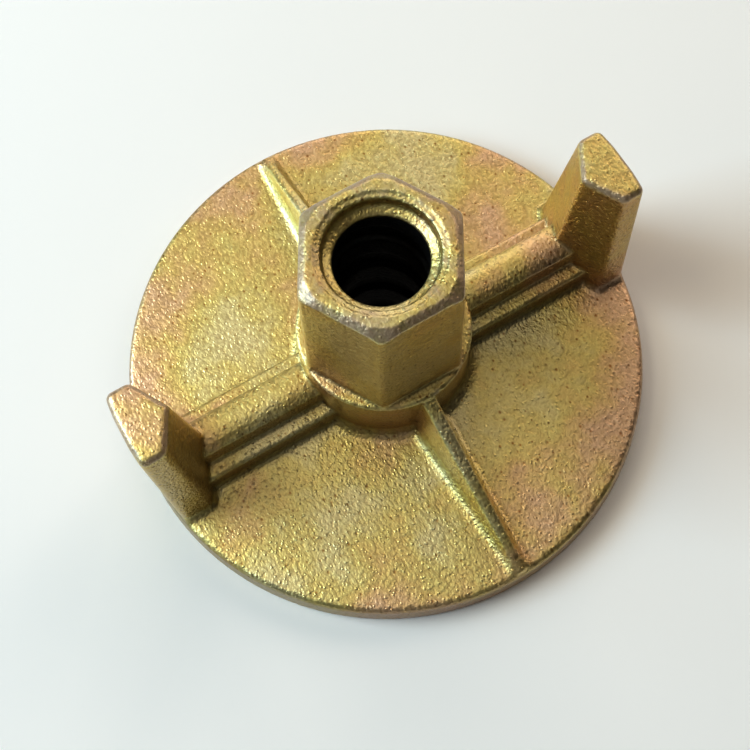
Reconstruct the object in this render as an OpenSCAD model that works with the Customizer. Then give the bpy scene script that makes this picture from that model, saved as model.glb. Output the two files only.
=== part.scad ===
// Formwork wing nut: a round bearing plate, a hexagonal hub with a rod bore, and two hammer lugs.
// Millimetres. +Z runs up the rod, the bearing face lies on z = 0, the lugs stand on the X axis.

/* [Plate] */
// Diameter of the bearing plate
plate_d = 100; // [80:1:130]
// Thickness of the bearing plate
plate_t = 5.2; // [3.5:0.1:8]
// Draft of the plate's rim, in degrees
plate_draft = 8; // [1:0.5:10]
// Radius of the rim's upper edge
plate_edge = 1.2; // [0.4:0.1:1.6]

/* [Hub] */
// Overall height of the nut
hub_h = 49.5; // [40:0.5:70]
// Width across the flats at the collar
hex_af = 27.2; // [24:0.1:36]
// Draft of the flats, in degrees
hex_draft = 1.7; // [0.5:0.1:3]
// Width of the rounded land on each upright corner
hex_land = 0.7; // [0.4:0.1:3]
// Radius where the crown's cone leaves the top face
crown_r = 12.5; // [12:0.1:16]
// Width of the worn bevel along the top of each flat
crown_bevel = 1.1; // [0.4:0.1:2]
// Slope of the crown's cone and bevels, in degrees
crown_slope = 37; // [20:1:50]
// Height of the collar's ledge
collar_h = 18.9; // [14:0.1:28]
// Radius of the collar
collar_r = 16; // [15:0.1:22]
// Radius of the ledge's outer edge
collar_edge = 0.6; // [0.2:0.1:1.5]
// Fillet between the collar and the plate
collar_fillet = 2.6; // [1:0.1:5]

/* [Bore] */
// Radius of the rod bore
bore_r = 7.7; // [6:0.05:10]
// Radius of the run-in above the bore
runin_r = 9.3; // [8:0.05:12]
// Depth of the run-in's sloped floor below the top face
runin_depth = 2.2; // [1.5:0.1:5]
// Outer radius of the dished ring around the run-in
mouth_r = 10.6; // [10.2:0.1:12]
// Depth of the ring's inner edge below the top face
mouth_depth = 0.45; // [0.4:0.05:1.2]
// Height of the small lip at the ring's outer edge
mouth_lip = 0.3; // [0.1:0.05:0.35]
// Chamfer of the bore at the bearing face
foot_chamfer = 1; // [0.3:0.1:2]

/* [Lugs] */
// Height of the lugs above the bearing face
lug_h = 35.2; // [28:0.1:50]
// Half width of a lug at the top
lug_half = 6.95; // [5:0.05:10]
// Distance from the axis to a lug's inner ridge at the top
lug_ridge = 39.5; // [34:0.1:46]
// Distance from the axis to a lug's shoulders at the top
lug_shoulder = 43.5; // [38:0.1:50]
// Radius of a lug's outer face at the top
lug_outer = 48.3; // [42:0.1:60]
// Gain of the half width from the top down to the plate
lug_flare = 3.2; // [1:0.1:5]
// Gain of the inner ridge from the top down to the plate
lug_lean = 2.6; // [0.5:0.1:4]
// Radius of the lugs' edges
lug_edge = 1.3; // [0.6:0.1:2]
// Reach of the flare at the foot of the lugs
lug_foot = 0.9; // [0.5:0.1:3]

/* [Lug ribs] */
// Height of the wide step above the bearing face
step_h = 9.3; // [6.5:0.1:14]
// Half width of the step at its upper edge
step_half = 6.9; // [5:0.1:10]
// Height of the ridge's shoulders above the bearing face
ridge_h = 13.1; // [10:0.1:18]
// Half width of the ridge at its shoulders
ridge_half = 3.6; // [2.5:0.1:6]
// Rise of the ridge's rounded back above its shoulders
ridge_rise = 1.1; // [0.4:0.1:2]
// Draft of the rib walls, in degrees
rib_draft = 6; // [1:0.5:10]
// Radius of the step's upper edges
step_edge = 0.7; // [0.2:0.1:1.5]
// Fillet at the foot of the step
rib_fillet = 1.4; // [0.5:0.1:3]

/* [Cross ribs] */
// Height of a cross rib where it leaves the collar
cross_hub_h = 17.9; // [10:0.1:18]
// Height of a cross rib at the rim
cross_rim_h = 5.8; // [5.4:0.1:12]
// Half width of a cross rib's back at the collar
cross_hub_half = 1.35; // [0.7:0.05:3]
// Half width of a cross rib's back at the rim
cross_rim_half = 0.9; // [0.6:0.05:3]
// Draft of a cross rib's walls, in degrees
cross_draft = 7; // [2:0.5:12]
// Radius along a cross rib's back
cross_edge = 0.5; // [0.2:0.1:0.6]
// Fillet at the foot of a cross rib
cross_fillet = 2.2; // [0.5:0.1:4]

/* [Look] */
// Colour of the plated casting
cast_colour = "#B39A55";

/* [Hidden] */
$fn = 96;
eps = 0.01;
plate_r = plate_d / 2;
corner_r = hex_af / sqrt(3);
land_depth = hex_land / (2 * tan(60));
rim_foot = 0.5;
cross_run = plate_r - 1.6;
fillet_dip = 0.03;
big = 200;

// Radius of the drafted rim at a height above the bearing face.
function rim_at(z) = plate_r - (z - rim_foot) * tan(plate_draft);

// Value at a height between the plate's top and the lugs' top.
function lug_at(top, foot, z) = top + (foot - top) * (lug_h - z) / (lug_h - plate_t);

// Bearing plate and collar as one revolved section, with the rim's edge and the fillet as true arcs.
module plate_and_collar() {
    edge_x = rim_at(plate_t - plate_edge) - plate_edge / cos(plate_draft);
    edge_z = plate_t - plate_edge;
    rotate_extrude() {
        polygon([
            [0, 0],
            [plate_r - rim_foot, 0],
            [plate_r, rim_foot],
            [edge_x + plate_edge * cos(plate_draft), edge_z + plate_edge * sin(plate_draft)],
            [edge_x, plate_t],
            [0, plate_t]
        ]);
        translate([edge_x, edge_z]) circle(plate_edge);
        polygon([
            [0, plate_t - 1],
            [collar_r, plate_t - 1],
            [collar_r, collar_h - collar_edge],
            [collar_r - collar_edge, collar_h],
            [0, collar_h]
        ]);
        translate([collar_r - collar_edge, collar_h - collar_edge]) circle(collar_edge);
        translate([collar_r, plate_t]) foot_fillet(collar_fillet);
    }
}

// Section of a concave fillet: the corner between a wall on the left, leaning by the draft, and a floor.
module foot_fillet(r, draft = 0) {
    centre_x = r * (1 - sin(draft)) / cos(draft);
    wall_x = centre_x - r * cos(draft);
    wall_z = r * (1 - sin(draft));
    difference() {
        polygon([[-1, -1], [centre_x, -1], [centre_x, 0], [wall_x, wall_z], [wall_x - 1, wall_z]]);
        translate([centre_x, r]) circle(r);
    }
}

// Hexagonal hub: a turned blank with a crown, cut by six drafted flats and their worn bevels.
module hub() {
    base_z = collar_h - 1;
    land_base = corner_r - land_depth + tan(hex_draft) / cos(30);
    land_top = corner_r - land_depth - (hub_h - collar_h) * tan(hex_draft) / cos(30);
    crown_z = hub_h - (land_top - crown_r) * tan(crown_slope);
    difference() {
        rotate_extrude() polygon([
            [0, base_z],
            [land_base, base_z],
            [land_top, crown_z],
            [crown_r, hub_h],
            [0, hub_h]
        ]);
        for (k = [0:5]) rotate(60 * k + 30) {
            translate([hex_af / 2, 0, collar_h]) rotate([0, -hex_draft, 0])
                translate([0, -big / 2, -big / 2]) cube([big, big, big]);
            translate([flat_top() - crown_bevel, 0, hub_h]) rotate([0, crown_slope - 90, 0])
                translate([0, -big / 2, -big / 2]) cube([big, big, big]);
        }
    }
}

// Distance from the axis to a flat at the height of the top face.
function flat_top() = hex_af / 2 - (hub_h - collar_h) * tan(hex_draft);

// Corner centres of a lug's house-shaped plan at a height. The back keeps to the rim's circle while
// the spread moves the inner faces and the sides outwards.
function lug_corners(z, spread) =
    let (
        ridge = lug_at(lug_ridge, lug_ridge - lug_lean, z),
        shoulder = lug_at(lug_shoulder, lug_shoulder - lug_lean / 2, z),
        half = lug_at(lug_half, lug_half + lug_flare, z),
        back = lug_at(lug_outer, rim_at(plate_t) - 0.2, z) - lug_edge,
        roof = atan2(half, shoulder - ridge),
        inset = lug_edge - spread,
        turn = asin((half - inset) / back)
    ) [
        [ridge + inset / sin(roof), 0],
        for (side = [-1, 1]) [shoulder + inset * tan(roof / 2), side * (half - inset)],
        for (share = [-1, -0.5, 0.5, 1]) back * [cos(share * turn), sin(share * turn)]
    ];

// One lug: drafted, rounded on every edge, and standing in a flare on the plate.
module lug() {
    hull() for (z = [plate_t - 2, lug_h - lug_edge])
        for (c = lug_corners(z, 0)) translate([c.x, c.y, z]) sphere(lug_edge, $fn = 24);
    hull() for (level = [[-1, lug_foot], [0, lug_foot], [lug_foot, -0.05]])
        for (c = lug_corners(plate_t + max(level[0], 0), level[1]))
            translate([c.x, c.y, plate_t + level[0]]) cylinder(r = lug_edge, h = 0.01, $fn = 24);
}

// Section of a lug rib, cut across the rib: a wide step that carries a ridge with a rounded back.
module lug_rib_section() {
    back_r = (pow(ridge_half, 2) + pow(ridge_rise, 2)) / (2 * ridge_rise);
    step_foot = step_half + (step_h - plate_t) * tan(rib_draft);
    ridge_foot = ridge_half + (ridge_h - step_h) * tan(rib_draft);
    step_lip = step_half + step_edge * tan(rib_draft);
    for (side = [0, 1]) mirror([side, 0]) {
        polygon([
            [0, plate_t - 1],
            [step_foot, plate_t - 1],
            [step_foot, plate_t],
            [step_lip, step_h - step_edge],
            [step_lip - step_edge, step_h],
            [ridge_foot, step_h],
            [ridge_half, ridge_h],
            [0, ridge_h]
        ]);
        translate([step_lip - step_edge, step_h - step_edge]) circle(step_edge);
        translate([step_foot, plate_t - fillet_dip]) foot_fillet(rib_fillet, rib_draft);
        translate([ridge_foot, step_h]) foot_fillet(rib_fillet / 2, rib_draft);
    }
    intersection() {
        translate([0, ridge_h + ridge_rise - back_r]) circle(back_r);
        translate([-ridge_half, ridge_h - 1]) square([2 * ridge_half, ridge_rise + 2]);
    }
}

// Rib from the collar to a lug.
module lug_rib() {
    rotate([90, 0, 90]) linear_extrude(lug_shoulder - 1) lug_rib_section();
}

// Cross rib along +Y: a drafted web that falls to the rim and narrows on its way, with a rounded back.
module cross_rib() {
    slope = (cross_hub_h - cross_rim_h) / (cross_run - collar_r);
    hub_end = [collar_r - 2, cross_hub_h + 2 * slope, cross_hub_half];
    rim_end = [cross_run, cross_rim_h, cross_rim_half];
    hull() for (end = [hub_end, rim_end]) {
        foot = end[2] + (end[1] - plate_t + 1) * tan(cross_draft);
        for (side = [-1, 1]) translate([side * (end[2] - cross_edge), end[0], end[1] - cross_edge])
            sphere(cross_edge, $fn = 24);
        translate([-foot, end[0] - eps, plate_t - 1]) cube([2 * foot, eps, eps]);
    }
    cross_rib_feet();
}

// Fillets along both feet of a cross rib, kept under its back and cut off on a slope at the rim.
module cross_rib_feet() {
    run = cross_run - collar_r;
    foot_hub = cross_hub_half + (cross_hub_h - plate_t) * tan(cross_draft);
    foot_rim = cross_rim_half + (cross_rim_h - plate_t) * tan(cross_draft);
    intersection() {
        for (side = [0, 1]) mirror([side, 0, 0])
            translate([foot_hub, collar_r, plate_t - fillet_dip]) rotate(atan2(foot_hub - foot_rim, run))
                rotate([90, 0, 0]) translate([0, 0, -run - 4])
                    linear_extrude(run + 6) foot_fillet(cross_fillet, cross_draft);
        rotate([90, 0, 90]) translate([0, 0, -10]) linear_extrude(20) polygon([
            [0, plate_t - 1],
            [0, cross_hub_h - 1],
            [collar_r, cross_hub_h - 0.5],
            [cross_run, cross_rim_h - 0.2],
            [cross_run + 0.4, plate_t],
            [cross_run + 0.4, plate_t - 1]
        ]);
    }
}

// Rod bore with a chamfer at the bearing face, and at the top a coned run-in inside a dished ring.
module bore() {
    floor_z = hub_h - runin_depth;
    translate([0, 0, -1]) cylinder(r = bore_r, h = hub_h + 2);
    translate([0, 0, -eps]) cylinder(r1 = bore_r + foot_chamfer, r2 = bore_r, h = foot_chamfer + eps);
    rotate_extrude() polygon([
        [0, floor_z - 0.8],
        [bore_r, floor_z - 0.8],
        [runin_r, floor_z],
        [runin_r + 0.1, hub_h - mouth_depth],
        [mouth_r - 0.1, hub_h - mouth_lip],
        [mouth_r, hub_h],
        [mouth_r, hub_h + 1],
        [0, hub_h + 1]
    ]);
}

// The nut is one casting.
module wing_nut() {
    color(cast_colour) difference() {
        union() {
            plate_and_collar();
            hub();
            for (turn = [0, 180]) rotate(turn) {
                lug();
                lug_rib();
                cross_rib();
            }
        }
        bore();
    }
}

wing_nut();
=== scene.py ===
"""Dresses the formwork wing nut: cast skin with its rod thread, plated finish, light and camera."""

import logging
import math
from dataclasses import dataclass, field
from enum import Enum
from typing import Any

import bmesh
import bpy
import numpy as np
from mathutils import Euler, Matrix, Vector


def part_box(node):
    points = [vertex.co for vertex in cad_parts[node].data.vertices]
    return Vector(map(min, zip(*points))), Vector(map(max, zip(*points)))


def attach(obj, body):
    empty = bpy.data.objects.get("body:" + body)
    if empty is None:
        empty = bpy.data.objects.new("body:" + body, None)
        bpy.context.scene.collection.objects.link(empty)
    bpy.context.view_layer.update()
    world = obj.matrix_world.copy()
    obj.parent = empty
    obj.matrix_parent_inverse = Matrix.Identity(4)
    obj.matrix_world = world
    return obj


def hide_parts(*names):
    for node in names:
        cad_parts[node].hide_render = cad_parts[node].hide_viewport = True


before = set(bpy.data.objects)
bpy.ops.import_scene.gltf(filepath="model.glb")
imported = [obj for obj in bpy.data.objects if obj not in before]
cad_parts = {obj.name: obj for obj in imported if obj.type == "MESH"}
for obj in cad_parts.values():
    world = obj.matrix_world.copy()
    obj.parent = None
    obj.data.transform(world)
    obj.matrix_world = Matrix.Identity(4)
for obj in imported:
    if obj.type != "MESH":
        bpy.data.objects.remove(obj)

LOG = logging.getLogger("wing_nut")
MM = 0.001

# A Mix node has sockets for each kind of data under the same names, so that its colours go by number.
MIX_SHARE, MIX_UNDER, MIX_OVER, MIX_RESULT = 0, 6, 7, 2


def linear(hex_colour: str) -> tuple[float, float, float, float]:
    """Turn an sRGB hex colour into the linear colour that shaders take.

    Args:
        hex_colour: Six hex digits with a leading hash.

    Returns:
        Linear red, green and blue, with an alpha of 1.
    """
    parts = [int(hex_colour[i : i + 2], 16) / 255 for i in (1, 3, 5)]
    red, green, blue = (c / 12.92 if c <= 0.04045 else ((c + 0.055) / 1.055) ** 2.4 for c in parts)
    return red, green, blue, 1.0


def add_node(
    tree: bpy.types.NodeTree,
    kind: str,
    settings: dict[str, Any] | None = None,
    inputs: dict[str | int, Any] | None = None,
    stops: list[tuple[float, tuple[float, float, float, float]]] | None = None,
) -> bpy.types.Node:
    """Add a shader node with its settings, its values and links, and its ramp's stops.

    Args:
        tree: Node tree that takes the node.
        kind: Blender's type name of the node.
        settings: Properties of the node itself.
        inputs: A value, or a socket to link from, for each input by name or number.
        stops: Places and colours along a colour ramp.

    Returns:
        The new node.
    """
    node = tree.nodes.new(kind)
    for name, value in (settings or {}).items():
        setattr(node, name, value)
    for name, value in (inputs or {}).items():
        if isinstance(value, bpy.types.NodeSocket):
            tree.links.new(value, node.inputs[name])
        else:
            node.inputs[name].default_value = value
    if stops:
        ramp = node.color_ramp.elements
        while len(ramp) < len(stops):
            ramp.new(0.5)
        for element, (place, colour) in zip(ramp, stops):
            element.position, element.color = place, colour
    return node


def as_object(mesh: bmesh.types.BMesh, name: str) -> bpy.types.Object:
    """Turn a bmesh into a linked object at the origin, and free it.

    Args:
        mesh: Mesh to use up.
        name: Name of the object and its mesh.

    Returns:
        The new object.
    """
    data = bpy.data.meshes.new(name)
    mesh.to_mesh(data)
    mesh.free()
    made = bpy.data.objects.new(name, data)
    bpy.context.scene.collection.objects.link(made)
    return made


def apply_modifiers(made: bpy.types.Object) -> None:
    """Swap an object's mesh for its evaluated one and drop its modifiers.

    Args:
        made: Object whose modifiers are applied.
    """
    evaluated = made.evaluated_get(bpy.context.evaluated_depsgraph_get())
    finished = bpy.data.meshes.new_from_object(evaluated)
    made.modifiers.clear()
    made.data = finished


class Trait(Enum):
    """Per-vertex facts of the cast skin that its finish follows."""

    WEAR = "wear"
    PAINTED_SHADE = "painted_shade"
    UPRIGHT = "upright"
    BORE = "bore"


@dataclass(frozen=True)
class Spots:
    """Round spots with soft edges, scattered at most one to a cell.

    The cell's size and the spots' height are in millimetres, and a height below 0 makes pits. The smallest
    and the largest outer radius are shares of a cell, and empty is the share of the cells without a spot. The
    shift sets a pattern apart from the others.
    """

    cell_mm: float
    height_mm: float
    radii: tuple[float, float]
    empty: float
    shift: tuple[float, float, float] = (0.0, 0.0, 0.0)

    def build(self, tree: bpy.types.NodeTree, place: bpy.types.NodeSocket) -> bpy.types.NodeSocket:
        """Scatter the spots.

        Args:
            tree: Node tree of the material.
            place: Coordinates in millimetres.

        Returns:
            The spots, from 0 outside to 1 at their centres.
        """
        moved = add_node(tree, "ShaderNodeVectorMath", {"operation": "ADD"}, {0: place, 1: self.shift})
        cells = add_node(tree, "ShaderNodeTexVoronoi", inputs={
            "Vector": moved.outputs["Vector"], "Scale": 1 / self.cell_mm,
        })
        parts = add_node(tree, "ShaderNodeSeparateColor", inputs={"Color": cells.outputs["Color"]})
        chance = parts.outputs["Red"]
        smallest, largest = self.radii
        radius = add_node(tree, "ShaderNodeMapRange", inputs={
            "Value": chance, "From Min": self.empty, "To Min": smallest, "To Max": largest,
        })
        kept = add_node(tree, "ShaderNodeMath", {"operation": "GREATER_THAN"}, {0: chance, 1: self.empty})
        share = add_node(tree, "ShaderNodeMath", {"operation": "DIVIDE"}, {
            0: cells.outputs["Distance"], 1: radius.outputs["Result"],
        })
        return add_node(tree, "ShaderNodeMapRange", {"interpolation_type": "SMOOTHSTEP"}, {
            "Value": share.outputs[0], "To Min": kept.outputs[0], "To Max": 0.0,
        }).outputs["Result"]


@dataclass(frozen=True)
class YellowZincCasting:
    """Yellow-passivated zinc on a sand-cast ductile iron body.

    The chromate film over the zinc gives gold with drifting green and salmon tints. Upright faces are painted
    darker and browner as shade, and the low parts of the skin's lumps are painted darker as shade. The film's
    clear top gives a soft second gloss. The sand mould leaves a skin of small grains that glitter and of
    dents, which are painted darker as the shade in them. Handling rubs the zinc grey on the proud edges, and
    gas leaves a few black pinholes. Creases and the rim's outer side are painted darker as shade, and the
    bore is painted near black as the shade deep inside it.
    """

    salmon: str = "#E2C3A1"
    tan: str = "#E2C693"
    gold: str = "#E2CD8A"
    citron: str = "#E1D38D"
    straw: str = "#E1D7A1"
    pale_straw: str = "#E1D7A6"
    # Painted shade: upright faces are multiplied by this tone, darker and browner than level ones.
    upright_shade: str = "#EAD9C0"
    # Painted shade: the low parts of the skin's lumps are multiplied by this tone.
    hollow_shade: str = "#B09A72"
    # Painted shade: the dents are multiplied by this darker brown.
    dent_shade: str = "#B5925F"
    # Painted shade: creases and the rim's outer side are multiplied by this umber.
    umber: str = "#6E4A22"
    bare_zinc: str = "#B79F85"
    pinhole: str = "#1B120A"
    # Painted shade: the inside of the bore is made near black.
    bore_shade: str = "#0B0907"

    # The tints drift over a few centimetres, as the bath ran off, and turn to salmon towards the rim. The
    # shift lays the green and the salmon patches where this casting has them.
    tint_mm: float = 24.0
    tint_shift_mm: tuple[float, float, float] = (-281.1, -490.2, -456.4)
    tint_spread: float = 1.4
    tint_outward: tuple[float, float] = (-0.161, -0.299)
    tint_reach_mm: tuple[float, float] = (15.0, 50.0)
    mottle: float = 0.18

    # Moulding sand is 0.2 to 0.4 mm across, too fine to show. Its grains and lumps are drawn twice as coarse.
    grains: Spots = Spots(0.75, 0.085, (0.28, 0.5), 0.1)
    # The dents are sunk in the relief and also painted darker, as painted shade.
    dents: Spots = Spots(1.15, -0.02, (0.15, 0.4), 0.5, (7.0, 3.0, 0.0))
    pinholes: Spots = Spots(8.5, -0.3, (0.022, 0.045), 0.68, (2.0, 9.0, 0.0))
    drawn_out: float = 0.8
    lump_mm: float = 0.62
    lump_height_mm: float = 0.17
    wave_mm: float = 3.2
    wave_height_mm: float = 0.12

    # A face is upright by 1 where it stands plumb. Upright faces are painted darker and browner as shade, and
    # drawing the pattern from the sand roughens them.
    upright_shade_span: tuple[float, float] = (0.75, 0.9)
    rough_draw_span: tuple[float, float] = (0.6, 0.9)
    rough_draw: float = 2.2
    hollow_span: tuple[float, float] = (0.65, 0.3)
    hollow_share: float = 0.33
    wear_span: tuple[float, float] = (1.1, 1.55)
    wear_share: float = 0.9
    wear_from_waves: float = 1.1
    wear_from_lumps: float = 0.5

    worn_metallic: float = 0.6
    # The bore's painted shade also dulls the metal there.
    bore_metallic: float = 0.2
    roughness: tuple[float, float] = (0.4, 0.53)
    roughness_span: tuple[float, float] = (0.3, 0.7)
    worn_roughness: float = 0.12
    film_gloss: float = 0.7
    film_roughness: float = 0.28

    def build(self) -> bpy.types.Material:
        """Make the material.

        Returns:
            The finished material.
        """
        material = bpy.data.materials.new("yellow_zinc_casting")
        material.use_nodes = True
        tree = material.node_tree
        tree.nodes.clear()
        place = self._millimetres(tree, 1.0)
        drawn = self._millimetres(tree, self.drawn_out)
        traits = {
            trait: add_node(tree, "ShaderNodeAttribute", {"attribute_name": trait.value}).outputs["Fac"]
            for trait in Trait
        }
        grains, dents = self.grains.build(tree, drawn), self.dents.build(tree, drawn)
        pinholes = self.pinholes.build(tree, place)
        lumps = add_node(tree, "ShaderNodeTexNoise", inputs={
            "Vector": drawn, "Scale": 1 / self.lump_mm, "Detail": 1.0,
        }).outputs["Fac"]
        waves = add_node(tree, "ShaderNodeTexNoise", inputs={
            "Vector": place, "Scale": 1 / self.wave_mm, "Detail": 1.0,
        }).outputs["Fac"]
        # Share of painted shade in the low parts of the lumps.
        hollows = add_node(tree, "ShaderNodeMapRange", inputs={
            "Value": lumps,
            "From Min": self.hollow_span[0],
            "From Max": self.hollow_span[1],
            "To Max": self.hollow_share,
        })
        # Mask of the upright faces that take the painted shade.
        plumb = add_node(tree, "ShaderNodeMapRange", inputs={
            "Value": traits[Trait.UPRIGHT],
            "From Min": self.upright_shade_span[0],
            "From Max": self.upright_shade_span[1],
        })
        rubbed = self._rubbed(tree, traits[Trait.WEAR], waves, lumps)
        colour = self._film(tree, place, waves)
        for share, tone, blend in [
            # Painted shade: upright faces darker and browner.
            (plumb.outputs["Result"], self.upright_shade, "MULTIPLY"),
            # Painted shade: the low parts of the lumps darker.
            (hollows.outputs["Result"], self.hollow_shade, "MULTIPLY"),
            # Painted shade: the dents darker.
            (dents, self.dent_shade, "MULTIPLY"),
            # Painted shade: concave creases and the rim's outer side darker.
            (traits[Trait.PAINTED_SHADE], self.umber, "MULTIPLY"),
            (rubbed, self.bare_zinc, "MIX"),
            (pinholes, self.pinhole, "MIX"),
            # Painted shade: deep inside the bore near black.
            (traits[Trait.BORE], self.bore_shade, "MIX"),
        ]:
            coat = add_node(tree, "ShaderNodeMix", {"data_type": "RGBA", "blend_type": blend}, {
                MIX_SHARE: share, MIX_UNDER: colour, MIX_OVER: linear(tone),
            })
            colour = coat.outputs[MIX_RESULT]
        shader = add_node(tree, "ShaderNodeBsdfPrincipled", inputs={
            "Base Color": colour,
            "Metallic": self._metal(tree, rubbed, traits[Trait.BORE]),
            "Roughness": self._sheen(tree, rubbed, lumps),
            "Coat Weight": self.film_gloss,
            "Coat Roughness": self.film_roughness,
            "Normal": self._relief(tree, {
                grains: self.grains.height_mm,
                lumps: self.lump_height_mm,
                waves: self.wave_height_mm,
                dents: self.dents.height_mm,
                pinholes: self.pinholes.height_mm,
            }, traits[Trait.UPRIGHT]),
        })
        add_node(tree, "ShaderNodeOutputMaterial", inputs={"Surface": shader.outputs["BSDF"]})
        return material

    def _millimetres(self, tree: bpy.types.NodeTree, along_y: float) -> bpy.types.NodeSocket:
        """Return object coordinates in millimetres, with a share below 1 to draw patterns out along Y."""
        where = add_node(tree, "ShaderNodeTexCoord").outputs["Object"]
        return add_node(tree, "ShaderNodeMapping", inputs={
            "Vector": where, "Scale": (1 / MM, along_y / MM, 1 / MM),
        }).outputs["Vector"]

    def _film(
        self, tree: bpy.types.NodeTree, place: bpy.types.NodeSocket, waves: bpy.types.NodeSocket
    ) -> bpy.types.NodeSocket:
        """Mix the chromate film's tints.

        Args:
            tree: Node tree of the material.
            place: Coordinates in millimetres.
            waves: Shallow waves of the sand skin, which mottle the tints.

        Returns:
            The film's colour.
        """
        moved = add_node(tree, "ShaderNodeMapping", inputs={
            "Vector": place, "Location": self.tint_shift_mm,
        })
        drift = add_node(tree, "ShaderNodeTexNoise", inputs={
            "Vector": moved.outputs["Vector"], "Scale": 1 / self.tint_mm, "Detail": 3.0,
        })
        flat = add_node(tree, "ShaderNodeMapping", inputs={"Vector": place, "Scale": (1.0, 1.0, 0.0)})
        reach = add_node(tree, "ShaderNodeVectorMath", {"operation": "LENGTH"}, {0: flat.outputs["Vector"]})
        outward = add_node(tree, "ShaderNodeMapRange", inputs={
            "Value": reach.outputs["Value"],
            "From Min": self.tint_reach_mm[0],
            "From Max": self.tint_reach_mm[1],
            "To Min": self.tint_outward[0],
            "To Max": self.tint_outward[1],
        })
        broad = add_node(tree, "ShaderNodeMath", {"operation": "MULTIPLY_ADD"}, {
            0: drift.outputs["Fac"], 1: self.tint_spread, 2: outward.outputs["Result"],
        })
        film = add_node(tree, "ShaderNodeMath", {"operation": "MULTIPLY_ADD"}, {
            0: waves, 1: self.mottle, 2: broad.outputs[0],
        })
        stops = [
            (0.32, linear(self.salmon)),
            (0.42, linear(self.tan)),
            (0.50, linear(self.gold)),
            (0.58, linear(self.citron)),
            (0.68, linear(self.straw)),
            (0.74, linear(self.pale_straw)),
        ]
        ramp = add_node(tree, "ShaderNodeValToRGB", inputs={"Fac": film.outputs[0]}, stops=stops)
        return ramp.outputs["Color"]

    def _rubbed(
        self,
        tree: bpy.types.NodeTree,
        worn: bpy.types.NodeSocket,
        waves: bpy.types.NodeSocket,
        lumps: bpy.types.NodeSocket,
    ) -> bpy.types.NodeSocket:
        """Break the wear of the proud edges up, so that it comes and goes along them.

        Args:
            tree: Node tree of the material.
            worn: How far each place is exposed to wear.
            waves: Shallow waves of the sand skin.
            lumps: Fine lumps of the sand skin.

        Returns:
            Share of bare zinc.
        """
        broad = add_node(tree, "ShaderNodeMath", {"operation": "MULTIPLY_ADD"}, {
            0: waves, 1: self.wear_from_waves, 2: worn,
        })
        ragged = add_node(tree, "ShaderNodeMath", {"operation": "MULTIPLY_ADD"}, {
            0: lumps, 1: self.wear_from_lumps, 2: broad.outputs[0],
        })
        return add_node(tree, "ShaderNodeMapRange", inputs={
            "Value": ragged.outputs[0],
            "From Min": self.wear_span[0],
            "From Max": self.wear_span[1],
            "To Max": self.wear_share,
        }).outputs["Result"]

    def _metal(
        self, tree: bpy.types.NodeTree, rubbed: bpy.types.NodeSocket, bore: bpy.types.NodeSocket
    ) -> bpy.types.NodeSocket:
        """Dull the metal where the zinc is rubbed grey, and in the bore, which is painted dark as shade.

        Args:
            tree: Node tree of the material.
            rubbed: Share of bare zinc.
            bore: Share by which a place lies inside the bore.

        Returns:
            How metallic each place is.
        """
        bare = add_node(tree, "ShaderNodeMapRange", inputs={
            "Value": rubbed, "To Min": 1.0, "To Max": self.worn_metallic,
        })
        return add_node(tree, "ShaderNodeMapRange", inputs={
            "Value": bore, "To Min": bare.outputs["Result"], "To Max": self.bore_metallic,
        }).outputs["Result"]

    def _sheen(
        self, tree: bpy.types.NodeTree, rubbed: bpy.types.NodeSocket, lumps: bpy.types.NodeSocket
    ) -> bpy.types.NodeSocket:
        """Vary the gloss with the sand skin's lumps, and dull it where the zinc is bare.

        Args:
            tree: Node tree of the material.
            rubbed: Share of bare zinc.
            lumps: Fine lumps of the sand skin.

        Returns:
            Roughness of each place.
        """
        rough = add_node(tree, "ShaderNodeMath", {"operation": "MULTIPLY_ADD"}, {
            0: rubbed, 1: self.worn_roughness, 2: lumps,
        })
        return add_node(tree, "ShaderNodeMapRange", inputs={
            "Value": rough.outputs[0],
            "From Min": self.roughness_span[0],
            "From Max": self.roughness_span[1],
            "To Min": self.roughness[0],
            "To Max": self.roughness[1],
        }).outputs["Result"]

    def _relief(
        self,
        tree: bpy.types.NodeTree,
        heights: dict[bpy.types.NodeSocket, float],
        upright: bpy.types.NodeSocket,
    ) -> bpy.types.NodeSocket:
        """Raise the skin's grains and sink its dents.

        Args:
            tree: Node tree of the material.
            heights: Height in millimetres that each pattern gives at its full value.
            upright: Share by which a face is upright.

        Returns:
            The disturbed normal.
        """
        total = 0.0
        for pattern, height in heights.items():
            total = add_node(tree, "ShaderNodeMath", {"operation": "MULTIPLY_ADD"}, {
                0: pattern, 1: height, 2: total,
            }).outputs[0]
        rougher = add_node(tree, "ShaderNodeMapRange", inputs={
            "Value": upright,
            "From Min": self.rough_draw_span[0],
            "From Max": self.rough_draw_span[1],
            "To Min": MM,
            "To Max": self.rough_draw * MM,
        })
        return add_node(tree, "ShaderNodeBump", inputs={
            "Distance": rougher.outputs["Result"], "Height": total,
        }).outputs["Normal"]


@dataclass(frozen=True)
class StudioPaper:
    """Pale matt paper under the nut, without a pattern."""

    tone: str = "#FBFAF7"
    roughness: float = 0.9

    def build(self) -> bpy.types.Material:
        """Make the material.

        Returns:
            The finished material.
        """
        material = bpy.data.materials.new("studio_paper")
        material.use_nodes = True
        shader = material.node_tree.nodes["Principled BSDF"]
        shader.inputs["Base Color"].default_value = linear(self.tone)
        shader.inputs["Roughness"].default_value = self.roughness
        return material


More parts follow.
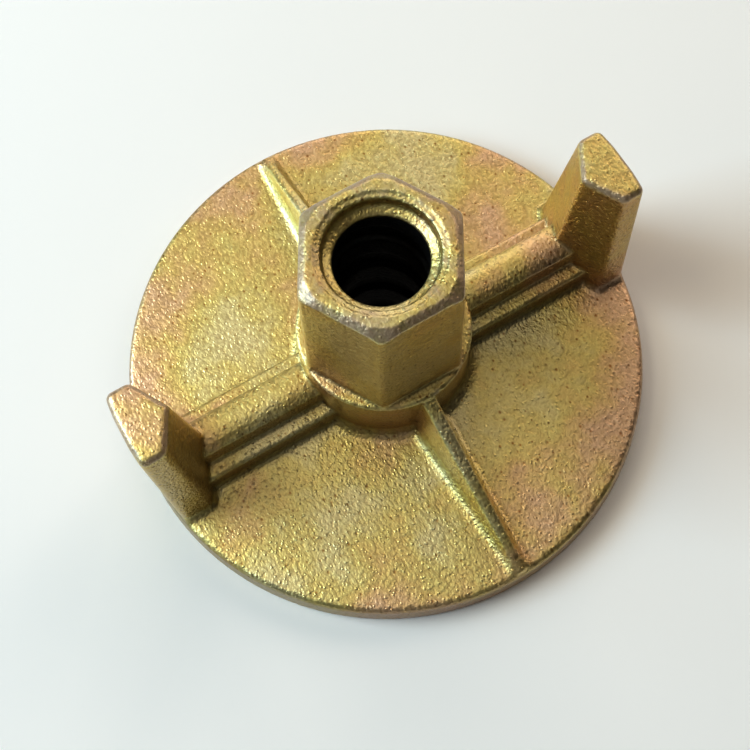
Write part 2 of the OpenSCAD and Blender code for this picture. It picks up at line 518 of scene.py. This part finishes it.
@dataclass
class RodThread:
    """Coarse groove of the tie rod's thread, as the solid that is cut from the bore's wall.

    The solid stands into the bore by the overlap, so that the cut is clean, and starts below the bearing face
    by a share of the pitch.
    """

    crest_r: float = 7.7 * MM
    root_r: float = 8.55 * MM
    pitch: float = 10.0 * MM
    crest_w: float = 5.2 * MM
    root_w: float = 3.4 * MM
    turns: float = 4.9
    steps_per_turn: int = 48
    start_angle: float = math.radians(200)
    start_below: float = 0.6
    overlap: float = 0.8 * MM
    weld: float = 0.001 * MM

    def build(self) -> bpy.types.Object:
        """Sweep the groove's section up the bore.

        Returns:
            The closed sweep.
        """
        mesh = bmesh.new()
        inner = self.crest_r - self.overlap
        section = [
            (inner, -self.crest_w / 2),
            (self.crest_r, -self.crest_w / 2),
            (self.root_r, -self.root_w / 2),
            (self.root_r, self.root_w / 2),
            (self.crest_r, self.crest_w / 2),
            (inner, self.crest_w / 2),
        ]
        face = mesh.faces.new([mesh.verts.new((radius, 0, height)) for radius, height in section])
        steps = round(self.turns * self.steps_per_turn)
        bmesh.ops.spin(
            mesh,
            geom=[face, *face.verts, *face.edges],
            cent=(0, 0, 0),
            axis=(0, 0, 1),
            dvec=(0, 0, self.pitch / self.steps_per_turn),
            angle=self.turns * 2 * math.pi,
            steps=steps,
            use_duplicate=False,
        )
        start = Matrix.Rotation(self.start_angle, 3, "Z")
        bmesh.ops.rotate(mesh, verts=mesh.verts, cent=(0, 0, 0), matrix=start)
        bmesh.ops.translate(mesh, verts=mesh.verts, vec=(0, 0, -self.start_below * self.pitch))
        bmesh.ops.remove_doubles(mesh, verts=mesh.verts, dist=self.weld)
        bmesh.ops.recalc_face_normals(mesh, faces=mesh.faces)
        return as_object(mesh, "rod_thread_cutter")


@dataclass
class CastBody:
    """The casting's skin: the solid's own form, with softened corners and a threaded bore.

    The crown is the chamfer round the hub's top, and the struck top within it takes the blows. A lean is a
    range of how far the skin faces up, which is 1 on a level face and 0 on a plumb one. The sharp bend is the
    share of a grid step by which a point stands proud of its neighbours on an edge that wears in full.
    """

    node: str = "wing_nut"
    voxel: float = 0.3 * MM
    smoothing_rounds: int = 2
    smoothing_share: float = 0.5
    triangle_budget: int = 190_000
    weld: float = 0.002 * MM

    mouth_depth: float = 2.9 * MM
    foot_depth: float = 1.2 * MM
    bore_fade: float = 0.5 * MM
    bore_reach: float = 9.0 * MM
    crown_r: float = 11.7 * MM
    crown_depth: float = 2.4 * MM
    crown_lean: tuple[float, float] = (0.2, 0.96)
    struck_depth: float = 0.6 * MM
    lug_top: float = 35.2 * MM
    lug_inner_r: float = 38.0 * MM
    lug_lean: tuple[float, float] = (0.3, 0.92)
    rim_r: float = 49.0 * MM
    rim_top: float = 6.0 * MM
    rim_lean: tuple[float, float] = (-0.6, 0.6)

    sharp_bend: float = 0.1
    edge_wear: float = 0.26
    struck_wear: float = 0.35
    rim_wear: float = 0.74
    corner_shade: float = 0.4
    rim_shade: float = 0.5
    blur_rounds: int = 4
    thread: RodThread = field(default_factory=RodThread)
    finish: YellowZincCasting = field(default_factory=YellowZincCasting)

    def build(self) -> bpy.types.Object:
        """Make the skin and put it in the solid's place.

        Returns:
            The finished piece.
        """
        skin = self._merged_copy()
        self._cut_thread(skin)
        self._cast(skin)
        self._measure(skin)
        self._thin(skin)
        skin.data.materials.clear()
        skin.data.materials.append(self.finish.build())
        skin.data.polygons.foreach_set("use_smooth", [True] * len(skin.data.polygons))
        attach(skin, "root")
        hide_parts(self.node)
        return skin

    def _merged_copy(self) -> bpy.types.Object:
        """Copy the solid's mesh with its loose triangles merged."""
        mesh = bmesh.new()
        mesh.from_mesh(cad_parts[self.node].data)
        bmesh.ops.remove_doubles(mesh, verts=mesh.verts, dist=self.weld)
        return as_object(mesh, "wing_nut_casting")

    def _cut_thread(self, skin: bpy.types.Object) -> None:
        """Cut the thread's groove from the bore's wall."""
        cutter = self.thread.build()
        cut = skin.modifiers.new("thread", "BOOLEAN")
        cut.operation, cut.solver, cut.object = "DIFFERENCE", "EXACT", cutter
        apply_modifiers(skin)
        bpy.data.objects.remove(cutter)

    def _cast(self, skin: bpy.types.Object) -> None:
        """Round every corner as a sand mould does: rebuild the skin on an even grid and relax it."""
        grid = skin.modifiers.new("grid", "REMESH")
        grid.mode, grid.voxel_size, grid.adaptivity = "VOXEL", self.voxel, 0.0
        apply_modifiers(skin)
        mesh = bmesh.new()
        mesh.from_mesh(skin.data)
        for _ in range(self.smoothing_rounds):
            bmesh.ops.smooth_vert(
                mesh,
                verts=mesh.verts,
                factor=self.smoothing_share,
                use_axis_x=True,
                use_axis_y=True,
                use_axis_z=True,
            )
        mesh.to_mesh(skin.data)
        mesh.free()

    def _thin(self, skin: bpy.types.Object) -> None:
        """Thin the mesh to its budget where it is flattest."""
        triangles = sum(len(p.vertices) - 2 for p in skin.data.polygons)
        LOG.info("the cast grid has %d triangles", triangles)
        if triangles <= self.triangle_budget:
            return
        thin = skin.modifiers.new("thin", "DECIMATE")
        thin.ratio = self.triangle_budget / triangles
        apply_modifiers(skin)

    def _measure(self, skin: bpy.types.Object) -> None:
        """Store what the finish follows at each vertex: wear, painted shade, steepness and depth in the bore.
        """
        place, normal, ends = self._read(skin.data)
        around = np.bincount(ends.ravel(), minlength=len(place)).clip(1)
        bend = -((self._spread(place, ends, around) - place) * normal).sum(1) / self.voxel / self.sharp_bend
        radius = np.hypot(place[:, 0], place[:, 1])
        height, up = place[:, 2], normal[:, 2]
        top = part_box(self.node)[1][2]
        struck = height > top - self.struck_depth
        crown = (height > top - self.crown_depth) & (radius > self.crown_r)
        crown &= self._within(up, self.crown_lean)
        lug_rim = (height > self.lug_top - self.crown_depth) & (radius > self.lug_inner_r)
        lug_rim &= self._within(up, self.lug_lean)
        rim = (radius > self.rim_r) & (height < self.rim_top) & self._within(up, self.rim_lean)
        wear = np.maximum.reduce([
            self.edge_wear * np.clip(bend, 0, 1),
            self.struck_wear * struck,
            self.rim_wear * (crown | lug_rim),
        ])
        # Painted shade: concave creases and the rim's outer side are darkened.
        painted_shade = np.maximum(self.corner_shade * np.clip(-bend, 0, 1), self.rim_shade * rim)
        for _ in range(self.blur_rounds):
            wear = 0.5 * wear + 0.5 * self._spread(wear[:, None], ends, around)[:, 0]
            painted_shade = 0.5 * painted_shade + 0.5 * self._spread(painted_shade[:, None], ends, around)[:, 0]
        # Painted shade: deep inside the bore the colour goes near black.
        depth = np.minimum(top - self.mouth_depth - height, height - self.foot_depth)
        bore = np.clip(depth / self.bore_fade, 0, 1) * (radius < self.bore_reach)
        for trait, values in {
            Trait.WEAR: wear,
            Trait.PAINTED_SHADE: painted_shade,
            Trait.UPRIGHT: 1 - np.abs(up),
            Trait.BORE: bore,
        }.items():
            stored = skin.data.attributes.new(trait.value, "FLOAT", "POINT")
            stored.data.foreach_set("value", values.astype(np.float32))

    def _read(self, data: bpy.types.Mesh) -> tuple[np.ndarray, np.ndarray, np.ndarray]:
        """Read a mesh into arrays.

        Args:
            data: Mesh of the skin.

        Returns:
            Places and normals, one row for each vertex, and the vertex numbers at each edge's ends.
        """
        place = np.empty((len(data.vertices), 3))
        normal = np.empty_like(place)
        ends = np.empty((len(data.edges), 2), dtype=np.int64)
        data.vertices.foreach_get("co", place.reshape(-1))
        data.vertex_normals.foreach_get("vector", normal.reshape(-1))
        data.edges.foreach_get("vertices", ends.reshape(-1))
        return place, normal, ends

    def _within(self, values: np.ndarray, limits: tuple[float, float]) -> np.ndarray:
        """Tell which values lie between two limits."""
        return (values > limits[0]) & (values < limits[1])

    def _spread(self, values: np.ndarray, ends: np.ndarray, around: np.ndarray) -> np.ndarray:
        """Average values over each vertex's neighbours.

        Args:
            values: One row for each vertex.
            ends: Vertex numbers at the ends of each edge.
            around: Number of neighbours of each vertex.

        Returns:
            The averages, one row for each vertex.
        """
        total = np.zeros_like(values)
        for column in range(values.shape[1]):
            total[:, column] += np.bincount(ends[:, 0], values[ends[:, 1], column], len(values))
            total[:, column] += np.bincount(ends[:, 1], values[ends[:, 0], column], len(values))
        return total / around[:, None]


@dataclass
class Floor:
    """Pale round floor that the bearing face stands on."""

    radius: float = 0.9
    sides: int = 96
    finish: StudioPaper = StudioPaper()

    def build(self) -> bpy.types.Object:
        """Lay the floor.

        Returns:
            The floor.
        """
        mesh = bmesh.new()
        bmesh.ops.create_circle(mesh, cap_ends=True, segments=self.sides, radius=self.radius)
        floor = as_object(mesh, "floor")
        floor.data.materials.append(self.finish.build())
        return floor


@dataclass(frozen=True)
class SoftBox:
    """One large soft lamp that faces the nut, placed by its compass angle, elevation and distance."""

    name: str
    azimuth: float
    elevation: float
    distance: float
    width: float
    height: float
    power: float
    tone: str = "#FFFFFF"

    def build(self) -> bpy.types.Object:
        """Hang the lamp and turn it to the nut.

        Returns:
            The lamp.
        """
        light = bpy.data.lights.new(self.name, "AREA")
        light.shape, light.size, light.size_y = "RECTANGLE", self.width, self.height
        light.energy, light.color = self.power, linear(self.tone)[:3]
        lamp = bpy.data.objects.new(self.name, light)
        turn = Euler((0, math.radians(90 - self.elevation), math.radians(self.azimuth)), "XYZ")
        lamp.location = Vector((0, 0, self.distance))
        lamp.location.rotate(turn)
        lamp.rotation_euler = lamp.location.to_track_quat("Z", "Y").to_euler()
        bpy.context.scene.collection.objects.link(lamp)
        return lamp


@dataclass
class Studio:
    """Plain soft light: a broad window low on the left, a ceiling, and walls, dim on the near side."""

    lamps: tuple[SoftBox, ...] = (
        SoftBox("window", 150.0, 30.0, 1.2, 0.75, 0.5, 12.4, "#C8E8FF"),
        SoftBox("window_head", 140.0, 50.0, 1.2, 0.6, 0.5, 4.1, "#FFF9E4"),
        SoftBox("ceiling", 120.0, 84.0, 1.2, 0.8, 0.8, 2.5, "#FFF8EC"),
        SoftBox("far_wall", 65.0, 30.0, 1.2, 0.7, 0.6, 3.8, "#FFF3E6"),
        SoftBox("right_wall", 25.0, 40.0, 1.2, 0.5, 0.5, 1.6, "#FFEEDD"),
        SoftBox("right_wall_foot", 10.0, 28.0, 1.2, 0.6, 0.5, 1.8, "#FFEEDD"),
        SoftBox("left_wall", 185.0, 30.0, 1.2, 0.6, 0.6, 0.3, "#FFF1E2"),
        SoftBox("near_wall", 250.0, 40.0, 1.2, 0.6, 0.6, 0.6, "#FFFFFF"),
    )
    room: str = "#1E1D1C"
    backdrop: str = "#F4F5F4"
    gamma: float = 0.8

    def build(self) -> None:
        """Hang the lamps and light the room, which is dim to the nut but a pale backdrop to the eye."""
        for lamp in self.lamps:
            lamp.build()
        world = bpy.data.worlds.new("studio_room")
        world.use_nodes = True
        tree = world.node_tree
        seen = add_node(tree, "ShaderNodeLightPath").outputs["Is Camera Ray"]
        around = add_node(tree, "ShaderNodeMix", {"data_type": "RGBA"}, {
            MIX_SHARE: seen, MIX_UNDER: linear(self.room), MIX_OVER: linear(self.backdrop),
        })
        tree.links.new(around.outputs[MIX_RESULT], tree.nodes["Background"].inputs["Color"])
        bpy.context.scene.world = world
        bpy.context.scene.view_settings.view_transform = "Standard"
        bpy.context.scene.view_settings.gamma = self.gamma


@dataclass(frozen=True)
class Viewpoint:
    """Camera over the near side of the plate, close enough to show the hub's and the lugs' drafts."""

    place: tuple[float, float, float] = (-32.28 * MM, -60.11 * MM, 192.81 * MM)
    angles: tuple[float, float, float] = (18.661, 1.240, -30.100)
    lens: float = 49.79
    sensor_width: float = 36.0
    clip: tuple[float, float] = (0.01, 20.0)

    def build(self) -> bpy.types.Object:
        """Set the camera up.

        Returns:
            The scene's camera.
        """
        data = bpy.data.cameras.new("camera")
        data.lens, data.sensor_width, data.sensor_fit = self.lens, self.sensor_width, "HORIZONTAL"
        data.clip_start, data.clip_end = self.clip
        camera = bpy.data.objects.new("camera", data)
        camera.location = self.place
        camera.rotation_euler = Euler([math.radians(angle) for angle in self.angles], "XYZ")
        bpy.context.scene.collection.objects.link(camera)
        bpy.context.scene.camera = camera
        return camera


def main() -> None:
    """Build the casting, the floor, the light and the camera in order."""
    logging.basicConfig(level=logging.INFO, format="%(message)s")
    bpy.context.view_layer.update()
    body = CastBody().build()
    LOG.info("%s: %d faces", body.name, len(body.data.polygons))
    floor = Floor().build()
    LOG.info("%s: %.1f m wide", floor.name, 2 * Floor.radius)
    Studio().build()
    camera = Viewpoint().build()
    LOG.info("%s: lens %.1f mm", camera.name, camera.data.lens)


if __name__ == "__main__":
    main()
